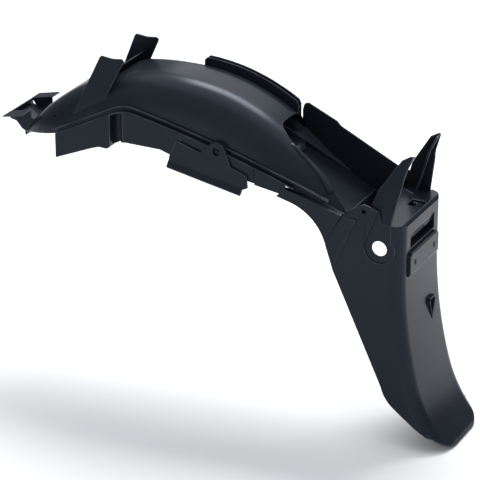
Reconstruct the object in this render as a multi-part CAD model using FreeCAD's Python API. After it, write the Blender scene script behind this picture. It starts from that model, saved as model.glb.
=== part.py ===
"""Rear mudguard of a small scooter: a hollow moulding with an arched hood, side skirts and a plate tail.

Millimetres. +X points to the rear, +Z up and -Y to the vehicle's left; the origin is the middle of the cross
bore through the two walls of the tail.
"""
import FreeCAD, Part
import math
import os

V = FreeCAD.Vector

# Hood: an arch whose section is a vertical wall under a rounded crown.
WALL = 2.6                 # moulded wall
HOOD_HALF = 70.0           # half width over the hood
CREST_X = -358.0           # highest point of the arch
CREST_Z = 195.5
CREST_R_FRONT = 341.0      # radius of the crest line forward of the crest
CREST_R_REAR = 310.0       # and behind it
CREST_STRAIGHT_X = -193.0  # the crest line falls straight behind this
SHOULDER_R = 50.0          # rounding of the shoulders
NOSE_R = 12.0              # which tapers to this at the nose
TAPER_X = -530.0           # the hood narrows forward of this
NOSE_X = -640.0            # front end of the hood
NOSE_HALF = 22.0
NOSE_FLOOR_Z = 54.0        # bottom edge at the front end
NOSE_FLOOR_RISE = 26.0     # rise of that edge up to the skirt
HOOD_END_X = -58.0
HOOD_FOOT_Z = -60.0        # its solid reaches down to this before it is trimmed at the ledge

# Ledge: the bent line along the foot of the hood, with a lip above a groove and the skirt below.
APEX_X = -430.0
APEX_Z = 152.0
APEX_ROUND = 20.0          # how far the rounding of the bend reaches each way
LEDGE_RISE = 0.51          # slope of the front part
LEDGE_END_X = -85.0        # end of the rear part
LEDGE_DROP = 93.0          # fall over the rear part
LEDGE_SAG = 8.0            # bow of the rear part above its chord
LIP = 3.0                  # thickness of the lip
LIP_OUT = 3.5              # how far it stands out from the hood
GROOVE = 8.5               # from the top of the lip to the top of the skirt

# Skirts
SKIRT_HALF = 76.0          # half width over the skirts
SKIRT_FRONT_X = -551.0
SKIRT_FRONT_Z = 41.7       # bottom corner at the front
SKIRT_GAP_X = -453.0       # the recess between the two front panels
SKIRT_GAP = 14.0
SKIRT_END_X = -330.0       # end of the second panel
SKIRT_ROUND = 13.0         # rounded column at the start of the second panel
RECESS_HALF = 61.0         # back of the recess between the panels
REAR_SKIRT_X = -206.0      # third panel, behind the clip plate

# Clip plate between the second and third panels
CLIP_FRONT_X = -350.0
CLIP_END_X = -217.0
CLIP_PROUD = 3.0           # how far it stands out from the skirts
CLIP_LIP = 7.0             # flared foot
CLIP_FOOT = 8.5            # height of the flare
CLIP_BOSS_X = -268.0
CLIP_BOSS_R = 15.0
CLIP_HOLE_D = 13.0

# Tail
TAIL_HALF = 77.5
TAIL_TOP_Z = 41.0
TAIL_REAR_X = 37.0
TOP_ROUND = 10.0           # rounding between the top and the rear face
BOX_LENGTH = 62.0          # closed top, measured from the rear face
HIP_IN = 111.0             # foot of the wheel arch ahead of the rear face
HIP_DROP = 91.0            # and below the top
TAIL_CORNER_R = 22.0       # rounding between the side walls and the rear face
TAIL_WALL = 3.0
TAIL_CURVE_Z = -35.0       # the rear face curves back below this
TAIL_BEND_R = 712.0        # on this radius
FLAP_Z = -225.0            # and then turns out more sharply
FLAP_BEND_R = 220.0
FLAP_END_Z = -320.0
RIGHT_SET_BACK = 16.0      # front edge of the right wall behind that of the left
FLAP_ROUND = 42.0          # corners of the flap seen from behind
FLAP_LIP = 24.0            # the side walls run out this far before the flap's end
BORE_D = 24.0              # cross bore through both walls
BORE_RECESS_R = 23.0       # recessed ring around it
RECESS = 2.5               # depth of the ring and of the strip above it

# Ears
EAR_BASE_HALF = 75.0       # outside of the ears at their foot
EAR_TIP_IN = 23.0          # how far the tips lean inwards
EAR_TIP_Z = 147.0
EAR_WALL = 3.0
EAR_RIB = 10.0             # depth of the rib on their inner side

# Number-plate pad on the rear face
PAD_HALF = 52.0
PAD_TOP_Z = -9.0
PAD_HEIGHT = 39.0
PAD_PROUD = 5.0
PAD_HOLE_PITCH = 70.0
PAD_HOLE_W = 5.0
PAD_HOLE_H = 8.0

# Sunk lamp panel above the pad
LAMP_HALF = 44.0
LAMP_DEPTH = 11.0
LAMP_SLOT = 54.0           # width of the slot in it

# Catch on the rear face
CATCH_Y = 28.0
CATCH_Z = -111.0           # its top
CATCH_WIDTH = 24.0
CATCH_HEIGHT = 38.0
CATCH_PROUD = 5.0

# Sunk square in the top with a blind hole
SOCKET_X = 19.0
SOCKET_Y = 19.0
SOCKET_SIDE = 23.0
SOCKET_DEPTH = 20.0

# Upright fins near the front of the hood
FIN_HALF = 56.0            # outside of the fins at their tops
FIN_TOP_Z = 216.5
FIN_FRONT_X = -478.0       # front corner of the top
FIN_LENGTH = 41.5
FIN_RAKE = 24.0            # degrees from the vertical
FIN_WALL = 2.6
FIN_LEAN = 7.0             # degrees inwards
WEB_TOP_Z = 191.0

# Rail on the right-hand shoulder
RAIL_FRONT_X = -350.0
RAIL_END_X = -187.0
RAIL_Y = 41.0
RAIL_WIDTH = 11.0
RAIL_RISE = 8.5            # above the crest line
RAIL_WALL = 2.4

# Well behind the hood
WELL_FRONT_X = -189.0
FLOOR_SLOPE = 0.504
FLOOR_END_X = -70.0
FLOOR_END_Z = 27.0
BULKHEAD_X = -234.0
FAR_WALL_HALF = 69.6
FAR_WALL_Z = 150.0
FAR_WALL_END_X = -27.0
STRIP_END_X = -112.0       # the strip along the foot of the right-hand wall runs out here
STRIP_WIDTH = 20.0
STRIP_STEP = 12.0          # its edge above the floor
STEP_X = -175.0            # the floor is raised forward of this
STEP_RISE = 7.0
PIT_DEPTH = 22.0           # drop between the floor's end and the tail

# Lugs above the tail
LUG_X = -25.0
LUG_Z = 67.5
LUG_HOLE_D = 7.0
LUG_HOLE_Z = LUG_Z - 12.0
LUG_BOSS = 10.0            # length of the blind boss behind it
FACET_PROUD = 3.0          # raised edge of the slanting facet below it

# Saddle bracket at the front end
BRACKET_FRONT_X = -658.0
BRACKET_LENGTH = 39.0
BRACKET_HALF = 34.0        # outside of its two walls
BRACKET_FLANGE = 22.0
BRACKET_Z = 85.0
BRACKET_SLOPE = 0.23
BRACKET_DEPTH = 28.0
BRACKET_SINK = 12.0        # depth of its saddle below the flanges

# Ends of cutting blocks, well beyond the part
FAR = 900.0

# The walls that carry on below the hood's own, set a little inside its faces.
BACK_WALL = (-(HOOD_HALF - 0.25 * WALL), -(HOOD_HALF - 1.2 * WALL))


def crest(x):
    """Height of the hood's top line: an arc each side of the crest, then a straight fall to the rear."""
    if x < CREST_X:
        return CREST_Z - CREST_R_FRONT + math.sqrt(CREST_R_FRONT ** 2 - (x - CREST_X) ** 2)
    run = min(x, CREST_STRAIGHT_X) - CREST_X
    reach = math.sqrt(CREST_R_REAR ** 2 - run ** 2)
    return CREST_Z - CREST_R_REAR + reach - max(0.0, x - CREST_STRAIGHT_X) * run / reach


def ledge(x):
    """Height of the ledge line, without the rounding of its bend."""
    if x <= APEX_X:
        return APEX_Z + LEDGE_RISE * (x - APEX_X)
    part = (x - APEX_X) / (LEDGE_END_X - APEX_X)
    return APEX_Z - LEDGE_DROP * part + 4 * LEDGE_SAG * part * (1 - part)


def prism(points, y0, y1):
    """Polygon of (x, z) points carried from y0 to y1."""
    corners = [V(x, y0, z) for x, z in points]
    face = Part.Face(Part.makePolygon(corners + corners[:1]))
    return face.extrude(V(0, y1 - y0, 0))


def slab(points, z0, z1):
    """Polygon of (x, y) points carried from z0 to z1."""
    corners = [V(x, y, z0) for x, y in points]
    face = Part.Face(Part.makePolygon(corners + corners[:1]))
    return face.extrude(V(0, 0, z1 - z0))


def edge_prism(edges, y0, y1):
    """Closed run of edges drawn in the plane y = 0, carried from y0 to y1."""
    face = Part.Face(Part.Wire(edges))
    solid = face.extrude(V(0, y1 - y0, 0))
    solid.translate(V(0, y0, 0))
    return solid


def line(a, b):
    return Part.makeLine(V(a[0], 0, a[1]), V(b[0], 0, b[1]))


def arc(a, b, c):
    return Part.Arc(V(a[0], 0, a[1]), V(b[0], 0, b[1]), V(c[0], 0, c[1])).toShape()


def curve(points):
    """Smooth curve through (x, z) points."""
    spline = Part.BSplineCurve()
    spline.interpolate([V(x, 0, z) for x, z in points])
    return spline.toShape()


def drum(x, z, radius, y0, y1):
    """Round bar along Y."""
    return Part.makeCylinder(radius, y1 - y0, V(x, y0, z), V(0, 1, 0))


def mirrored(shape):
    return shape.mirror(V(0, 0, 0), V(0, 1, 0))


def both(shape):
    return [shape, mirrored(shape)]


def joined(body, pieces):
    """Fuse pieces onto a body one after another."""
    for piece in pieces:
        body = body.fuse(piece)
    return body


def rounded(solid, rows):
    """Round numbered edges, each with its own size at its start and end."""
    document = FreeCAD.newDocument("rounding")
    base = document.addObject("Part::Feature", "base")
    base.Shape = solid
    feature = document.addObject("Part::Fillet", "rounded")
    feature.Base = base
    feature.Edges = rows
    document.recompute()
    shape = feature.Shape.copy()
    FreeCAD.closeDocument(document.Name)
    return shape.Solids[0]


def nose_bow():
    """Radius of the hood's sides, seen from above, where it narrows to the nose."""
    narrowing = HOOD_HALF - NOSE_HALF
    return ((TAPER_X - NOSE_X) ** 2 + narrowing ** 2) / (2 * narrowing)


def hood_solid(front, end):
    """Solid of the hood between two x values, with its foot well below the ledge."""

    def at(x):
        return (x, crest(x))

    edges = [
        arc(at(front), at((front + CREST_X) / 2), at(CREST_X)),
        arc(at(CREST_X), at((CREST_X + CREST_STRAIGHT_X) / 2), at(CREST_STRAIGHT_X)),
        line(at(CREST_STRAIGHT_X), at(end)),
        line(at(end), (end, HOOD_FOOT_Z)),
        line((end, HOOD_FOOT_Z), (front, HOOD_FOOT_Z)),
        line((front, HOOD_FOOT_Z), at(front)),
    ]
    solid = edge_prism(edges, -HOOD_HALF, HOOD_HALF)
    bow = nose_bow()
    for side in (-1, 1):
        corner = V(front - HOOD_HALF, min(0, side * 2 * HOOD_HALF), -FAR / 2)
        block = Part.makeBox(TAPER_X - front + HOOD_HALF, 2 * HOOD_HALF, FAR, corner)
        round_bar = Part.makeCylinder(bow, FAR, V(TAPER_X, side * (HOOD_HALF - bow), -FAR / 2))
        solid = solid.cut(block.cut(round_bar))
    rows = []
    for number, edge in enumerate(solid.Edges):
        middle = edge.valueAt((edge.FirstParameter + edge.LastParameter) / 2)
        if edge.BoundBox.XLength < 15 or abs(middle.y) < 5 or middle.z < crest(middle.x) - 2:
            continue
        sizes = [SHOULDER_R, SHOULDER_R]
        if middle.x < TAPER_X:
            ends = [edge.Vertexes[0].Point.x, edge.Vertexes[-1].Point.x]
            sizes[ends.index(min(ends))] = NOSE_R
        rows.append((number + 1, sizes[0], sizes[1]))
    return rounded(solid, rows)


def hood_half(x, inset):
    """Half width of the hood at x, drawn in by inset."""
    if x >= TAPER_X:
        return HOOD_HALF - inset
    bow = nose_bow()
    return HOOD_HALF - bow + math.sqrt((bow - inset) ** 2 - (TAPER_X - x) ** 2)


def hood_core(inset, front, end):
    """Space under the hood: a ruled loft through sections whose shoulders are chords of the outer rounding."""
    span = 26.0
    chords = 5
    count = math.ceil((end - front) / span)
    sections = []
    for k in range(count + 1):
        x = front + (end - front) * k / count
        slope = (crest(x + 1) - crest(x - 1)) / 2
        top = crest(x) - inset * math.sqrt(1 + slope ** 2)
        half = hood_half(x, inset)
        part = min(1.0, max(0.0, (x - NOSE_X) / (TAPER_X - NOSE_X)))
        radius = part * (SHOULDER_R - inset) + (1 - part) * (NOSE_R + 3 * inset)
        radius = min(radius, half - 1)
        right = []
        for step in range(chords + 1):
            angle = math.pi / 2 * step / chords
            right.append((half - radius + radius * math.sin(angle), top - radius + radius * math.cos(angle)))
        left = [(-y, z) for y, z in right[::-1]]
        corners = [V(x, y, z) for y, z in [(-half, HOOD_FOOT_Z)] + left + right + [(half, HOOD_FOOT_Z)]]
        sections.append(Part.makePolygon(corners + corners[:1]))
    return Part.makeLoft(sections, True, True)


def below_ledge(drop, y0, y1):
    """Everything below the ledge line lowered by drop, between two y values."""
    far_front = -FAR
    far_end = -HOOD_END_X + FAR / 4
    deep = -FAR / 2
    a = (APEX_X - APEX_ROUND, ledge(APEX_X - APEX_ROUND) - drop)
    b = (APEX_X + APEX_ROUND, ledge(APEX_X + APEX_ROUND) - drop)
    top = (APEX_X, ledge(APEX_X) - drop)
    mid = (top[0] * 0.5 + (a[0] + b[0]) * 0.25, top[1] * 0.5 + (a[1] + b[1]) * 0.25)
    bend = arc(a, mid, b)
    middle_x = (b[0] + LEDGE_END_X) / 2
    end = (LEDGE_END_X, ledge(LEDGE_END_X) - drop)
    rear = arc(b, (middle_x, ledge(middle_x) - drop), end)
    start = (far_front, ledge(far_front) - drop)
    slope = (ledge(LEDGE_END_X) - ledge(LEDGE_END_X - 20)) / 20
    last = (far_end, end[1] + slope * (far_end - LEDGE_END_X))
    edges = [line(start, a), bend, rear, line(end, last), line(last, (far_end, deep)),
             line((far_end, deep), (far_front, min(deep, start[1] - 50))),
             line((far_front, min(deep, start[1] - 50)), start)]
    return edge_prism(edges, y0, y1)


def band(top, bottom, x0, x1, y0, y1):
    """Strip that follows the ledge between two drops and two x values."""
    strip = below_ledge(top, y0, y1).cut(below_ledge(bottom, y0 - 1, y1 + 1))
    return strip.common(Part.makeBox(x1 - x0, y1 - y0, FAR, V(x0, y0, -FAR / 2)))


def rear_x(z, inset):
    """Position of the rear face at a height, moved in by inset."""
    if z >= TAIL_CURVE_Z:
        return TAIL_REAR_X - inset
    centre_x, centre_z, radius = TAIL_REAR_X + TAIL_BEND_R, TAIL_CURVE_Z, TAIL_BEND_R
    if z < FLAP_Z:
        turn = math.asin((TAIL_CURVE_Z - FLAP_Z) / TAIL_BEND_R)
        centre_x -= (TAIL_BEND_R - FLAP_BEND_R) * math.cos(turn)
        centre_z -= (TAIL_BEND_R - FLAP_BEND_R) * math.sin(turn)
        radius = FLAP_BEND_R
    return centre_x - math.sqrt((radius + inset) ** 2 - (z - centre_z) ** 2)


def rear_line(inset):
    """The two tangent arcs of the rear face's side view, moved in by inset, with their ends and last angle."""
    turn = math.asin((TAIL_CURVE_Z - FLAP_Z) / TAIL_BEND_R)
    x1 = TAIL_REAR_X + TAIL_BEND_R
    x2 = x1 - (TAIL_BEND_R - FLAP_BEND_R) * math.cos(turn)
    z2 = TAIL_CURVE_Z - (TAIL_BEND_R - FLAP_BEND_R) * math.sin(turn)
    last = math.asin((z2 - FLAP_END_Z) / FLAP_BEND_R)

    def upper(angle):
        radius = TAIL_BEND_R + inset
        return (x1 - radius * math.cos(angle), TAIL_CURVE_Z - radius * math.sin(angle))

    def lower(angle):
        radius = FLAP_BEND_R + inset
        return (x2 - radius * math.cos(angle), z2 - radius * math.sin(angle))

    edges = [arc(upper(0), upper(turn / 2), upper(turn)),
             arc(lower(turn), lower((turn + last) / 2), lower(last))]
    return edges, upper(0), lower(last), last


def tail_block():
    """Deep block behind the tail's front, with its long corners rounded."""
    bend, start, end, angle = rear_line(0)
    past = (end[0] + FLAP_ROUND * math.sin(angle), end[1] - FLAP_ROUND * math.cos(angle))
    low = past[1] - 2 * FLAP_ROUND
    front = TAIL_REAR_X - 300
    corners = [past, (past[0] - 3 * FLAP_ROUND, low), (front, low), (front, CREST_Z),
               (LEDGE_END_X + 22, TAIL_TOP_Z + 1), (TAIL_REAR_X, TAIL_TOP_Z), start]
    edges = bend + [line(end, past)]
    edges += [line(a, b) for a, b in zip(corners, corners[1:])]
    solid = edge_prism(edges, -TAIL_HALF, TAIL_HALF)
    long_edges = []
    for edge in solid.Edges:
        box = edge.BoundBox
        if box.YLength < 0.01 and box.XMin > TAIL_REAR_X - 1 and box.ZMin > low + 1:
            long_edges.append(edge)
    return solid.makeFillet(TAIL_CORNER_R, long_edges)


def tail_core():
    """Space inside the tail: a ruled loft through level sections, open to the front."""
    front = TAIL_REAR_X - 310
    half = TAIL_HALF - TAIL_WALL
    span = 28.0
    chords = 3
    low = FLAP_END_Z - FLAP_ROUND
    count = math.ceil((TAIL_CURVE_Z - low) / span)
    levels = [TAIL_TOP_Z - TAIL_WALL, TAIL_TOP_Z - 0.7 * TOP_ROUND]
    levels += [TAIL_CURVE_Z + (low - TAIL_CURVE_Z) * k / count for k in range(count + 1)]
    sections = []
    for z in levels:
        rear = rear_x(z, TAIL_WALL)
        if z == levels[0]:
            rear += TAIL_WALL - 0.7 * TOP_ROUND
        radius = TAIL_CORNER_R - TAIL_WALL
        right = []
        for step in range(chords + 1):
            angle = math.pi / 2 * step / chords
            right.append((rear - radius + radius * math.cos(angle), half - radius + radius * math.sin(angle)))
        left = [(x, -y) for x, y in right[::-1]]
        corners = [V(x, y, z) for x, y in [(front, -half)] + left + right + [(front, half)]]
        sections.append(Part.makePolygon(corners + corners[:1]))
    return Part.makeLoft(sections, True, True)


def tail_outline():
    """Everything behind the tail's front edge and under its top edge."""
    _, _, end, angle = rear_line(0)
    lip = (end[0] - TAIL_WALL * math.cos(angle), end[1] - TAIL_WALL * math.sin(angle))
    past = (end[0] + 3 * FLAP_ROUND * math.cos(angle), end[1] + 3 * FLAP_ROUND * math.sin(angle))
    merge = (lip[0] - FLAP_LIP * math.sin(angle), lip[1] + FLAP_LIP * math.cos(angle))
    knee = (end[0] - 109, end[1] + 94)
    chin = (knee[0] + 22.5, knee[1] - 33)
    hip = (TAIL_REAR_X - HIP_IN, TAIL_TOP_Z - HIP_DROP)
    arch_foot = (hip[0] - 12, hip[1] + 36)
    arch_top = (hip[0] - 74, hip[1] + 97)
    front = (hip[0] - 95, hip[1] + 102)
    shoulder = (hip[0] - 82, ledge(hip[0] - 82) - 2 * GROOVE)
    crown = (LEDGE_END_X + 22, TAIL_TOP_Z + 1)
    round_x = TAIL_REAR_X + 1 - TOP_ROUND
    round_z = TAIL_TOP_Z + 1 - TOP_ROUND
    bow = TOP_ROUND * math.sqrt(0.5)
    over = (round_x, TAIL_TOP_Z + 1)
    behind = (TAIL_REAR_X + 1, round_z)
    edges = [
        line(lip, merge),
        arc(merge, ((merge[0] + chin[0]) / 2 - 1, (merge[1] + chin[1]) / 2 - 1), chin),
        arc(chin, (chin[0] - 13, chin[1] + 13), knee),
        line(knee, hip),
        line(hip, arch_foot),
        arc(arch_foot, (hip[0] - 33.5, hip[1] + 74.5), arch_top),
        line(arch_top, front),
        line(front, shoulder),
        line(shoulder, crown),
        line(crown, over),
        arc(over, (round_x + bow, round_z + bow), behind),
        line(behind, past),
        line(past, lip),
    ]
    return edge_prism(edges, -TAIL_HALF - 5, TAIL_HALF + 5)


def floor_z(x):
    """Height of the well's floor."""
    return FLOOR_END_Z + FLOOR_SLOPE * (FLOOR_END_X - x)


def hood_shell():
    """The hood, its fins, rail, front bracket, lips and flanges, hollowed as one piece."""
    body = hood_solid(NOSE_X, HOOD_END_X)
    wide = HOOD_HALF + 40
    body = body.cut(below_ledge(GROOVE + WALL, -wide, wide))
    rise = NOSE_FLOOR_RISE / (SKIRT_FRONT_X - NOSE_X)
    under = prism([(NOSE_X - 20, NOSE_FLOOR_Z - 20 * rise), (SKIRT_FRONT_X, NOSE_FLOOR_Z + NOSE_FLOOR_RISE),
                   (SKIRT_FRONT_X, -100), (NOSE_X - 20, -100)], -wide, wide)
    body = body.cut(under)
    added = fins() + [web(), nose_lip()] + rail() + bracket()
    for piece in ledge_bands():
        added += both(piece)
    body = joined(body, added)
    body = body.cut(hood_core(WALL, NOSE_X + 2 * WALL, HOOD_END_X + 40))
    near = [(0, 12), (2, 18), (7, 25), (21, 33), (41, 38), (59, 39), (72, 40.5), (85, 43.5), (95, 46.5),
            (105, 50.5), (118, 56), (150, 66)]
    rim = [(WELL_FRONT_X + along, -across) for along, across in near]
    far_y = HOOD_HALF - WALL - 1
    rim += [(WELL_FRONT_X + near[-1][0], far_y), (WELL_FRONT_X, far_y)]
    return body.cut(slab(rim, HOOD_FOOT_Z, FAR))


def ledge_bands():
    """Lip above the groove and flange along the top of the skirt, on the left."""
    inside = -(HOOD_HALF - 0.7 * WALL)
    lip = band(0, LIP, SKIRT_FRONT_X - 4, LEDGE_END_X, -(HOOD_HALF + LIP_OUT), inside)
    flange = band(GROOVE, GROOVE + WALL, SKIRT_FRONT_X, TAIL_REAR_X - HIP_IN - 66, -SKIRT_HALF, inside)
    return [lip, flange]


def fins():
    """Pair of raked side fins that rise from the shoulders."""
    lean = math.tan(math.radians(FIN_RAKE))
    foot = ledge(FIN_FRONT_X) + 12
    drop = FIN_TOP_Z - foot
    front = FIN_FRONT_X
    end = front + FIN_LENGTH
    points = [(front - lean * drop, foot), (front - 3 * lean, FIN_TOP_Z - 3), (front + 2, FIN_TOP_Z),
              (front + 0.5 * FIN_LENGTH, FIN_TOP_Z - 2), (end - 4, FIN_TOP_Z), (end, FIN_TOP_Z - 4),
              (end - lean * (0.6 * drop), FIN_TOP_Z - 0.6 * drop), (end - lean * drop, foot)]
    fin = prism(points, -FIN_HALF, -FIN_HALF + FIN_WALL)
    fin.rotate(V(front, -FIN_HALF, FIN_TOP_Z), V(1, 0, 0), -FIN_LEAN)
    return both(fin)


def web():
    """Low raked wall across the hood between the fins."""
    lean = math.tan(math.radians(FIN_RAKE))
    x = FIN_FRONT_X + 0.62 * FIN_LENGTH - lean * (FIN_TOP_Z - WEB_TOP_Z)
    drop = WEB_TOP_Z - crest(x) + 40
    half = FIN_HALF - FIN_WALL / 2
    points = [(x, WEB_TOP_Z), (x + FIN_WALL, WEB_TOP_Z), (x + FIN_WALL - lean * drop, WEB_TOP_Z - drop),
              (x - lean * drop, WEB_TOP_Z - drop)]
    return prism(points, -half, half)


def rail():
    """Upright channel along the right-hand shoulder."""
    length = RAIL_END_X - RAIL_FRONT_X
    corner = 0.6 * RAIL_RISE
    xs = [RAIL_FRONT_X + corner + (length - 2 * corner) * k / 4 for k in range(5)]

    def top(x, drop):
        return (x, crest(x) + RAIL_RISE * (1 + 0.35 * (x - RAIL_FRONT_X) / length) - drop)

    upper = curve([top(x, 0) for x in xs])
    start = top(RAIL_FRONT_X, corner)
    end = top(RAIL_END_X, 1.5 * corner)
    depth = SHOULDER_R
    outline = [upper, line(top(xs[-1], 0), end), line(end, (end[0], end[1] - depth)),
               line((end[0], end[1] - depth), (start[0], start[1] - 1.2 * depth)),
               line((start[0], start[1] - 1.2 * depth), start), line(start, top(xs[0], 0))]
    block = edge_prism(outline, RAIL_Y, RAIL_Y + RAIL_WIDTH)
    ends = [RAIL_FRONT_X - 1] + xs[1:-1] + [RAIL_END_X + 1]
    low = curve([top(x, RAIL_RISE) for x in ends])
    inner_start = top(ends[0], RAIL_RISE)
    inner_end = top(ends[-1], RAIL_RISE)
    above = SHOULDER_R
    channel = [low, line(inner_end, (inner_end[0], inner_end[1] + above)),
               line((inner_end[0], inner_end[1] + above), (inner_start[0], inner_start[1] + above)),
               line((inner_start[0], inner_start[1] + above), inner_start)]
    groove = edge_prism(channel, RAIL_Y + RAIL_WALL, RAIL_Y + RAIL_WIDTH - RAIL_WALL)
    return [block.cut(groove)]


def bracket():
    """Saddle at the front end: a front wall, two side walls and a flange on each."""
    front = BRACKET_FRONT_X
    end = front + BRACKET_LENGTH
    rise = BRACKET_SLOPE * BRACKET_LENGTH
    outer = BRACKET_HALF + BRACKET_FLANGE
    flange = prism([(front, BRACKET_Z), (end, BRACKET_Z + rise), (end, BRACKET_Z + rise - WALL),
                    (front, BRACKET_Z - WALL)], -outer, -BRACKET_HALF + WALL)
    low = BRACKET_Z - BRACKET_DEPTH
    cheek = prism([(front + 2, BRACKET_Z - 1), (end, BRACKET_Z + rise - 1), (end, BRACKET_Z - 4),
                   (end + 22, BRACKET_Z - 8), (end + 24, BRACKET_Z - 22), (end, low + 6), (front + 31, low + 1),
                   (front + 26, low), (front + 21, low + 3), (front + 9, BRACKET_Z - 11)],
                  -BRACKET_HALF, -BRACKET_HALF + WALL)
    sink = BRACKET_Z - BRACKET_SINK
    saddle = prism([(front, BRACKET_Z), (front + WALL, BRACKET_Z), (front + WALL, sink + WALL),
                    (NOSE_X + 12, NOSE_FLOOR_Z + 16), (NOSE_X + 12, NOSE_FLOOR_Z + 16 - WALL), (front, sink)],
                   -BRACKET_HALF, BRACKET_HALF)
    return both(flange) + both(cheek) + [saddle]


def nose_lip():
    """Short lip that hangs from the saddle in front of the nose."""
    high = NOSE_FLOOR_Z + 17
    points = [(NOSE_X, high), (NOSE_X, NOSE_FLOOR_Z - 10), (NOSE_X + WALL, NOSE_FLOOR_Z - 11),
              (NOSE_X + 2 * WALL, high)]
    return prism(points, -NOSE_HALF + 2, NOSE_HALF - 2)


def skirts():
    """Front panels of the skirt on the left, with the recess between them."""
    outer = -SKIRT_HALF
    deep = -RECESS_HALF
    allowed = below_ledge(GROOVE + 0.3 * WALL, outer - 1, deep + 1)
    front = SKIRT_FRONT_X
    gap = SKIRT_GAP_X
    second = gap + SKIRT_GAP
    end = SKIRT_END_X
    high = CREST_Z
    panel = prism([(front, high), (front, SKIRT_FRONT_Z), (front + 66, SKIRT_FRONT_Z + 28),
                   (front + 78, SKIRT_FRONT_Z + 32), (gap - 6, SKIRT_FRONT_Z + 31.5), (gap, SKIRT_FRONT_Z + 36),
                   (gap, high)], outer, outer + WALL)
    turn = prism([(gap - WALL, high), (gap - WALL, SKIRT_FRONT_Z + 35), (gap, SKIRT_FRONT_Z + 36), (gap, high)],
                 outer, deep)
    back = prism([(gap - WALL, high), (gap - WALL, SKIRT_FRONT_Z + 36), (second + WALL, SKIRT_FRONT_Z + 46),
                  (second + WALL, high)], deep - WALL, deep)
    ceiling = band(GROOVE, GROOVE + WALL, gap - WALL, second + WALL, -(HOOD_HALF - 0.2 * WALL), deep)
    foot = [(second, SKIRT_FRONT_Z + 44), (second + 12, SKIRT_FRONT_Z + 48), (end - 36, SKIRT_FRONT_Z + 48),
            (end - 16, SKIRT_FRONT_Z + 42), (end, SKIRT_FRONT_Z + 39)]
    block = prism([(second, high)] + foot + [(end, high)], outer, deep)
    hollow = Part.makeBox(FAR, -outer - WALL, FAR, V(second + WALL, outer + WALL, -FAR / 2))
    block = corner_rounded(block, second, outer, SKIRT_ROUND)
    hollow = corner_rounded(hollow, second + WALL, outer + WALL, SKIRT_ROUND - WALL)
    pieces = [panel, turn, back, block.cut(hollow)]
    return [piece.common(allowed) for piece in pieces] + [ceiling]


def corner_rounded(solid, x, y, radius):
    """Round the upright edge of a block at (x, y)."""
    picked = []
    for edge in solid.Edges:
        box = edge.BoundBox
        if box.XLength < 0.01 and box.YLength < 0.01 and abs(box.XMin - x) < 0.01 and abs(box.YMin - y) < 0.01:
            picked.append(edge)
    return solid.makeFillet(radius, picked)


def clip():
    """Clip plate on the left with its boss, flared foot, back wall and end ribs."""
    skin = -(SKIRT_HALF + CLIP_PROUD)
    inner = -(HOOD_HALF - 0.6 * WALL)
    front = CLIP_FRONT_X
    end = CLIP_END_X
    boss_z = ledge(CLIP_BOSS_X) - 11
    plate = prism([(front + 14, ledge(front + 14) - 22), (CLIP_BOSS_X - 27, ledge(CLIP_BOSS_X - 27) - 24),
                   (CLIP_BOSS_X - 13, boss_z + 8), (CLIP_BOSS_X + 14, boss_z + 5),
                   (CLIP_BOSS_X + 24, ledge(CLIP_BOSS_X + 24) - 25), (end, ledge(end) - 26),
                   (end + 2, ledge(end) - 46), (end - 8, ledge(end) - 51), (front, ledge(front) - 63),
                   (front + 2, ledge(front) - 51)], skin, skin + WALL)
    boss = drum(CLIP_BOSS_X, boss_z, CLIP_BOSS_R, skin, inner)
    start = front + 12
    stop = REAR_SKIRT_X + 2
    back = prism([(start, ledge(start) - GROOVE - 1), (stop, ledge(REAR_SKIRT_X) - GROOVE - 1),
                  (stop, ledge(REAR_SKIRT_X) - 38), (start, ledge(start) - 52)], *BACK_WALL)
    ribs = []
    for x in (front + 13, end - 6):
        ribs.append(prism([(x, ledge(x) - 30), (x + WALL, ledge(x) - 30), (x + WALL, ledge(x) - 46),
                           (x, ledge(x) - 48)], skin, inner))
    a = (front, ledge(front) - 62)
    b = (end - 8, ledge(end) - 51)
    shape = [V(a[0], skin + WALL, a[1] + WALL), V(a[0], skin, a[1] + WALL),
             V(a[0], skin - CLIP_LIP, a[1] + WALL - CLIP_FOOT),
             V(a[0], skin - CLIP_LIP + WALL, a[1] - CLIP_FOOT), V(a[0], skin + WALL, a[1] - WALL)]
    foot = Part.Face(Part.makePolygon(shape + shape[:1])).extrude(V(b[0] - a[0], 0, b[1] - a[1]))
    hole = drum(CLIP_BOSS_X, boss_z, CLIP_HOLE_D / 2, skin - 1, inner - 2 * WALL)
    return [plate, boss, back, foot] + ribs, hole


def rear_skirt():
    """Third panel of the skirt on the left, up to the tail."""
    outer = -SKIRT_HALF
    inner = -(HOOD_HALF - 0.6 * WALL)
    x = REAR_SKIRT_X
    panel = prism([(x, CREST_Z), (x, ledge(x) - 36), (x + 40, ledge(x) - 42), (x + 52, ledge(x) - 43),
                   (x + 52, CREST_Z)], outer, outer + WALL)
    turn = prism([(x, CREST_Z), (x, ledge(x) - 36), (x + WALL, ledge(x) - 36.4), (x + WALL, CREST_Z)],
                 outer, inner)
    allowed = below_ledge(GROOVE + 0.3 * WALL, outer - 1, inner + 1)
    return [panel.common(allowed), turn.common(allowed)]


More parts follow.
